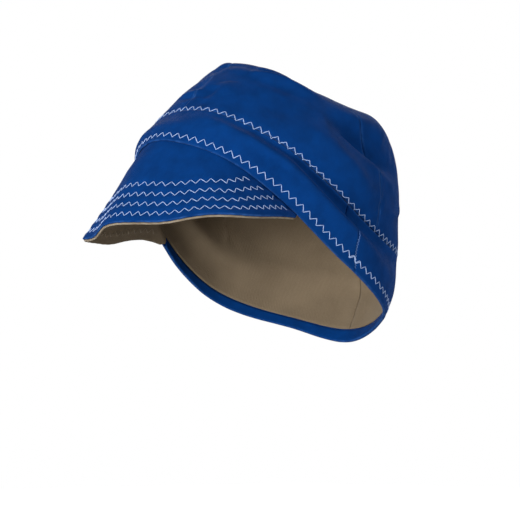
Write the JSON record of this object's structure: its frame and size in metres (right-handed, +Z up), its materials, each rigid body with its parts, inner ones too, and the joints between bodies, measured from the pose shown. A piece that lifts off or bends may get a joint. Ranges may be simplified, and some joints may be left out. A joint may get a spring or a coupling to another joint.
{
  "type": "welding cap",
  "caption": "Soft fabric welder's cap with a lined crown, a wide band with zigzag stitching, and a short soft drooping brim, in the form that a head gives it.",
  "frame": {"origin": "on the axis of the head that wears it, half way up the cap, 115 mm below the crown's top", "axes": "+Z up with the head upright, -Y towards the wearer's front, where the brim is, +X towards the wearer's left"},
  "size_m": [0.1568, 0.2293, 0.1767],
  "materials": {
    "blue_drill": "matt twill-woven cotton drill, royal blue",
    "khaki_lining": "matt coarse plain-woven cotton, undyed khaki",
    "pale_thread": "thick sewing thread with a slight sheen, near white"
  },
  "bodies": {
    "root": {"crown_left": "blue_drill", "crown_back": "blue_drill", "crown_right": "blue_drill", "band": "blue_drill", "crown_lining": "khaki_lining", "brim_top": "blue_drill", "brim_lining": "khaki_lining"}
  },
  "joints": []
}
